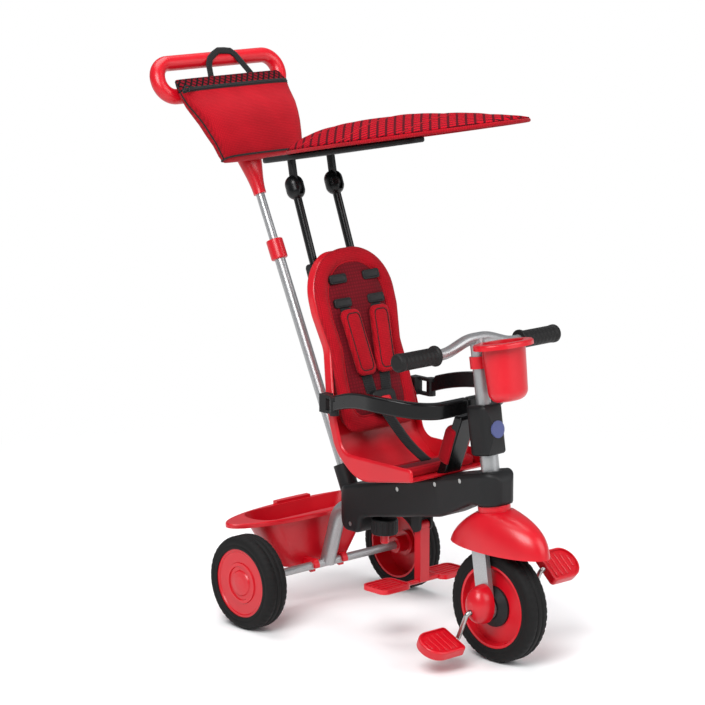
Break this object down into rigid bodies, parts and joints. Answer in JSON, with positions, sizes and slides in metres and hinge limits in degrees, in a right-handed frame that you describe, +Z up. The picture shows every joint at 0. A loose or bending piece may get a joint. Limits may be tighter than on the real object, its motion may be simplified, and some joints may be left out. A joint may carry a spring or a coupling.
{
  "type": "children's tricycle",
  "caption": "Child's push-along tricycle with steered pedal front wheel, padded harness seat, guard arms, tilting sunshade, push handle with bag, and tipping rear tub.",
  "frame": {"origin": "on the ground under the middle of the overall length and width", "axes": "+X forward, +Y to the rider's left, +Z up"},
  "size_m": [0.9271, 0.452, 1.0665],
  "materials": {
    "red_plastic": "smooth moulded red",
    "black_plastic": "fine-grained black",
    "silver_tube": "satin silver paint",
    "steel": "plain steel",
    "tyre": "matt black",
    "grip_rubber": "soft black",
    "red_cloth": "woven red cloth",
    "mesh_cloth": "red cloth with dark mesh",
    "webbing": "black woven webbing",
    "blue_plastic": "plain blue"
  },
  "bodies": {
    "frame": {"main_frame": "silver_tube", "head_bushes": "black_plastic", "body_left": "black_plastic", "body_right": "black_plastic", "body_screws": "steel", "axle_tube": "silver_tube", "axle_rod": "steel", "axle_nuts": "steel", "handle_socket": "black_plastic", "footrest_bracket": "black_plastic", "seat_shell": "red_plastic", "back_pad": "red_cloth", "seat_pad": "red_cloth", "harness_straps": "webbing", "shoulder_pads": "red_cloth", "harness_buckle": "black_plastic", "guard_brackets": "black_plastic", "guard_post": "black_plastic", "guard_post_pad": "red_cloth", "pole_bracket": "black_plastic", "canopy_poles": "black_plastic"},
    "rear_wheel_left": {"rear_tyre_left": "tyre", "rear_disc_left": "red_plastic", "rear_cap_left": "red_plastic"},
    "rear_wheel_right": {"rear_tyre_right": "tyre", "rear_disc_right": "red_plastic", "rear_cap_right": "red_plastic"},
    "handle": {"handle_lower_tube": "silver_tube", "handle_collar": "red_plastic"},
    "handle_top": {"handle_upper_tube": "silver_tube", "handle_loop": "red_plastic", "handle_bag": "red_cloth", "bag_strap": "webbing"},
    "zip": {"zip_puller": "black_plastic"},
    "knob": {"lock_knob": "black_plastic"},
    "button": {"release_button": "red_plastic"},
    "footrest": {"footrest": "red_plastic"},
    "tub": {"rear_tub": "red_plastic"},
    "guard_left": {"guard_arm_left": "black_plastic"},
    "guard_right": {"guard_arm_right": "black_plastic"},
    "canopy": {"canopy_frame": "black_plastic", "canopy_hoop": "black_plastic", "canopy_cloth": "mesh_cloth"},
    "steering": {"fork": "silver_tube", "steer_tube": "silver_tube", "fender": "red_plastic", "column_clamp": "black_plastic", "clamp_plate": "blue_plastic", "upper_column": "silver_tube", "handlebar": "silver_tube", "grips": "grip_rubber", "front_cup": "red_plastic", "hub_covers": "red_plastic"},
    "front_wheel": {"front_tyre": "tyre", "front_disc": "red_plastic", "front_hub": "black_plastic", "crank_axle": "steel"},
    "pedal_left": {"pedal_left": "red_plastic"},
    "pedal_right": {"pedal_right": "red_plastic"}
  },
  "joints": [
    {"name": "rear_wheel_left_spin", "type": "hinge", "parent": "frame", "child": "rear_wheel_left", "pos_m": [-0.115, 0.202, 0.09], "axis": [0, 1, 0], "continuous": true},
    {"name": "rear_wheel_right_spin", "type": "hinge", "parent": "frame", "child": "rear_wheel_right", "pos_m": [-0.115, -0.202, 0.09], "axis": [0, 1, 0], "continuous": true},
    {"name": "steering_turn", "type": "hinge", "parent": "frame", "child": "steering", "pos_m": [0.337, 0, 0.29], "axis": [-0.1564, 0, 0.9877], "range_deg": [-30, 30]},
    {"name": "front_wheel_spin", "type": "hinge", "parent": "steering", "child": "front_wheel", "pos_m": [0.353, 0, 0.105], "axis": [0, 1, 0], "continuous": true},
    {"name": "pedal_left_spin", "type": "hinge", "parent": "front_wheel", "child": "pedal_left", "pos_m": [0.3774, 0.131, 0.15981], "axis": [0, 1, 0], "continuous": true},
    {"name": "pedal_right_spin", "type": "hinge", "parent": "front_wheel", "child": "pedal_right", "pos_m": [0.3286, -0.131, 0.05019], "axis": [0, 1, 0], "continuous": true},
    {"name": "handle_turn", "type": "hinge", "parent": "frame", "child": "handle", "pos_m": [-0.054, 0, 0.257], "axis": [-0.4289, 0, 0.9033], "range_deg": [-30, 30]},
    {"name": "handle_slide", "type": "slide", "parent": "handle", "child": "handle_top", "axis": [-0.4289, 0, 0.9033], "range_m": [-0.012, 0.078]},
    {"name": "zip_slide", "type": "slide", "parent": "handle_top", "child": "zip", "axis": [0, 1, 0], "range_m": [0, 0.24]},
    {"name": "knob_turn", "type": "hinge", "parent": "frame", "child": "knob", "pos_m": [0.047, 0, 0.195], "axis": [0, 0, 1], "range_deg": [0, 90]},
    {"name": "button_press", "type": "slide", "parent": "knob", "child": "button", "axis": [0, 0, 1], "range_m": [0, 0.005], "stiffness_N_per_m": 300, "springref_m": -0.003},
    {"name": "footrest_fold", "type": "hinge", "parent": "frame", "child": "footrest", "pos_m": [0.149, 0, 0.216], "axis": [0, 1, 0], "range_deg": [0, 45]},
    {"name": "tub_tip", "type": "hinge", "parent": "frame", "child": "tub", "pos_m": [-0.115, 0, 0.09], "axis": [0, -1, 0], "range_deg": [0, 30]},
    {"name": "guard_left_swing", "type": "hinge", "parent": "frame", "child": "guard_left", "pos_m": [0.043, 0.125, 0.445], "axis": [0, 0, 1], "range_deg": [0, 75]},
    {"name": "guard_right_swing", "type": "hinge", "parent": "frame", "child": "guard_right", "pos_m": [0.043, -0.125, 0.445], "axis": [0, 0, -1], "range_deg": [0, 75]},
    {"name": "canopy_tilt", "type": "hinge", "parent": "frame", "child": "canopy", "pos_m": [-0.149, 0, 0.826], "axis": [0, 1, 0], "range_deg": [-30, 25]}
  ],
  "couplings": [
    {"joint": "handle_turn", "follows": "steering_turn", "ratio": 1}
  ]
}
